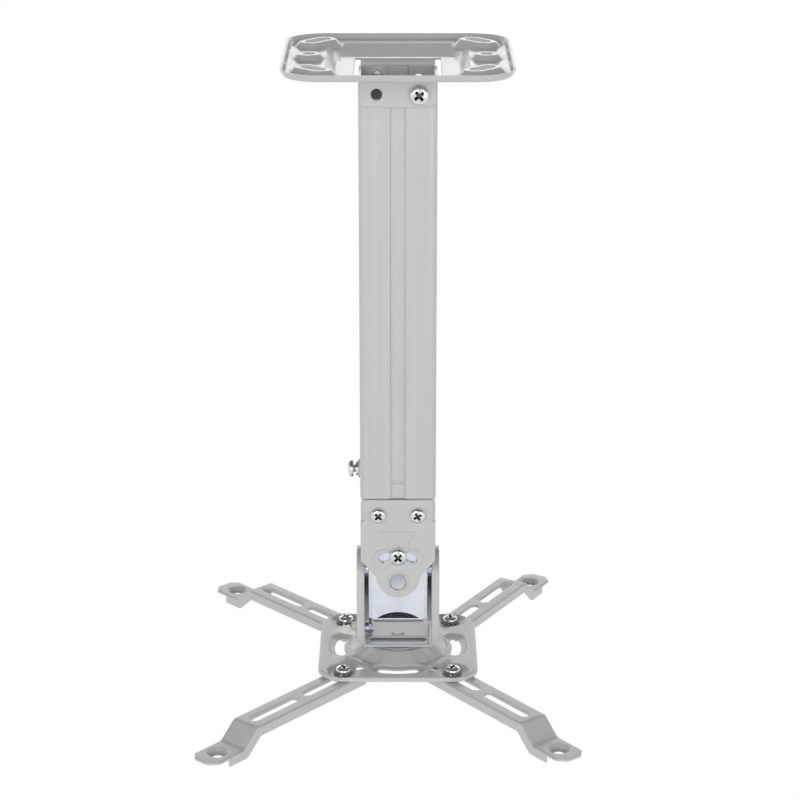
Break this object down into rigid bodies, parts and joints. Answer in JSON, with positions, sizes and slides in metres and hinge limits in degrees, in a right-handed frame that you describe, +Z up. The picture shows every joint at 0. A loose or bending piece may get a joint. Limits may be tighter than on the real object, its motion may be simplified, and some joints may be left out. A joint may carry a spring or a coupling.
{
  "type": "projector ceiling mount",
  "caption": "Ceiling mount for a projector: pressed plate, telescopic square pole, roll and tilt head, turning base plate and adjustable slotted arms.",
  "frame": {"origin": "centre of the ceiling plate's fixing face, midway between its two round fixing holes", "axes": "+Z up into the ceiling, -Y towards the front with the right-hand pole screw, +X to the right seen from the front"},
  "size_m": [0.225, 0.2784, 0.3857],
  "materials": {
    "coated_steel": "light grey powder coat, slight gloss",
    "zinc_plate": "bright bluish zinc plating",
    "bright_fastener": "bright nickel plating",
    "lever_finish": "cream coat"
  },
  "bodies": {
    "mount": {"ceiling_plate": "coated_steel", "outer_tube": "coated_steel", "pole_screw_front": "bright_fastener", "pole_screw_rear": "bright_fastener", "pole_nut_front": "bright_fastener", "pole_nut_rear": "bright_fastener", "height_lock_washer": "bright_fastener"},
    "height_lock": {"height_lock_screw": "bright_fastener"},
    "drop_tube": {"inner_tube": "coated_steel", "head_bracket": "coated_steel", "bracket_screw_front_left": "bright_fastener", "bracket_screw_front_right": "bright_fastener", "bracket_screw_rear_left": "bright_fastener", "bracket_screw_rear_right": "bright_fastener"},
    "gimbal": {"gimbal_link": "zinc_plate", "roll_lock_washer_front": "bright_fastener", "roll_lock_washer_rear": "bright_fastener", "roll_lock_screw_front": "bright_fastener", "roll_lock_screw_rear": "bright_fastener", "tilt_lock_stud": "zinc_plate", "tilt_lock_washer": "zinc_plate", "tilt_lock_collar": "zinc_plate"},
    "lever": {"tilt_lock_lever": "lever_finish"},
    "yoke_body": {"yoke": "coated_steel", "tilt_rivet_left": "zinc_plate", "tilt_rivet_right": "zinc_plate", "swivel_rivet": "zinc_plate", "swivel_disc": "zinc_plate"},
    "turntable": {"bottom_plate": "coated_steel"},
    "clamp_front_left": {"arm_screw_front_left": "bright_fastener", "arm_washer_front_left": "bright_fastener", "arm_nut_front_left": "bright_fastener"},
    "arm_front_left_body": {"arm_front_left": "coated_steel"},
    "clamp_front_right": {"arm_screw_front_right": "bright_fastener", "arm_washer_front_right": "bright_fastener", "arm_nut_front_right": "bright_fastener"},
    "arm_front_right_body": {"arm_front_right": "coated_steel"},
    "clamp_rear_left": {"arm_screw_rear_left": "bright_fastener", "arm_washer_rear_left": "bright_fastener", "arm_nut_rear_left": "bright_fastener"},
    "arm_rear_left_body": {"arm_rear_left": "coated_steel"},
    "clamp_rear_right": {"arm_screw_rear_right": "bright_fastener", "arm_washer_rear_right": "bright_fastener", "arm_nut_rear_right": "bright_fastener"},
    "arm_rear_right_body": {"arm_rear_right": "coated_steel"}
  },
  "joints": [
    {"name": "pole_extend", "type": "slide", "parent": "mount", "child": "drop_tube", "axis": [0, 0, -1], "range_m": [0, 0.2]},
    {"name": "height_lock_turn_in", "type": "slide", "parent": "mount", "child": "height_lock", "axis": [1, 0, 0], "range_m": [-0.001, 0.0013]},
    {"name": "head_roll", "type": "hinge", "parent": "drop_tube", "child": "gimbal", "pos_m": [0, 0, -0.3156], "axis": [0, 1, 0], "range_deg": [-30, 30]},
    {"name": "head_tilt", "type": "hinge", "parent": "gimbal", "child": "yoke_body", "pos_m": [0, 0, -0.3156], "axis": [1, 0, 0], "range_deg": [-15, 15]},
    {"name": "tilt_lever", "type": "hinge", "parent": "gimbal", "child": "lever", "pos_m": [-0.027, 0, -0.3549], "axis": [1, 0, 0], "range_deg": [-100, 10]},
    {"name": "plate_swivel", "type": "hinge", "parent": "yoke_body", "child": "turntable", "pos_m": [0, 0, -0.361], "axis": [0, 0, 1], "continuous": true},
    {"name": "swing_front_left", "type": "hinge", "parent": "turntable", "child": "clamp_front_left", "pos_m": [-0.0328, -0.0378, -0.3705], "axis": [0, 0, 1], "range_deg": [-34.5, 25.5]},
    {"name": "draw_front_left", "type": "slide", "parent": "clamp_front_left", "child": "arm_front_left_body", "axis": [-0.6494, -0.7604, 0], "range_m": [-0.0145, 0.0005]},
    {"name": "swing_front_right", "type": "hinge", "parent": "turntable", "child": "clamp_front_right", "pos_m": [0.0328, -0.0378, -0.3705], "axis": [0, 0, 1], "range_deg": [-22.5, 37.5]},
    {"name": "draw_front_right", "type": "slide", "parent": "clamp_front_right", "child": "arm_front_right_body", "axis": [0.6088, -0.7934, 0], "range_m": [-0.0042, 0.0108]},
    {"name": "swing_rear_left", "type": "hinge", "parent": "turntable", "child": "clamp_rear_left", "pos_m": [-0.0328, 0.0378, -0.3705], "axis": [0, 0, 1], "range_deg": [-28, 32]},
    {"name": "draw_rear_left", "type": "slide", "parent": "clamp_rear_left", "child": "arm_rear_left_body", "axis": [-0.682, 0.7314, 0], "range_m": [-0.0145, 0.0005]},
    {"name": "swing_rear_right", "type": "hinge", "parent": "turntable", "child": "clamp_rear_right", "pos_m": [0.0328, 0.0378, -0.3705], "axis": [0, 0, 1], "range_deg": [-44.5, 15.5]},
    {"name": "draw_rear_right", "type": "slide", "parent": "clamp_rear_right", "child": "arm_rear_right_body", "axis": [0.5075, 0.8616, 0], "range_m": [-0.0145, 0.0005]}
  ]
}
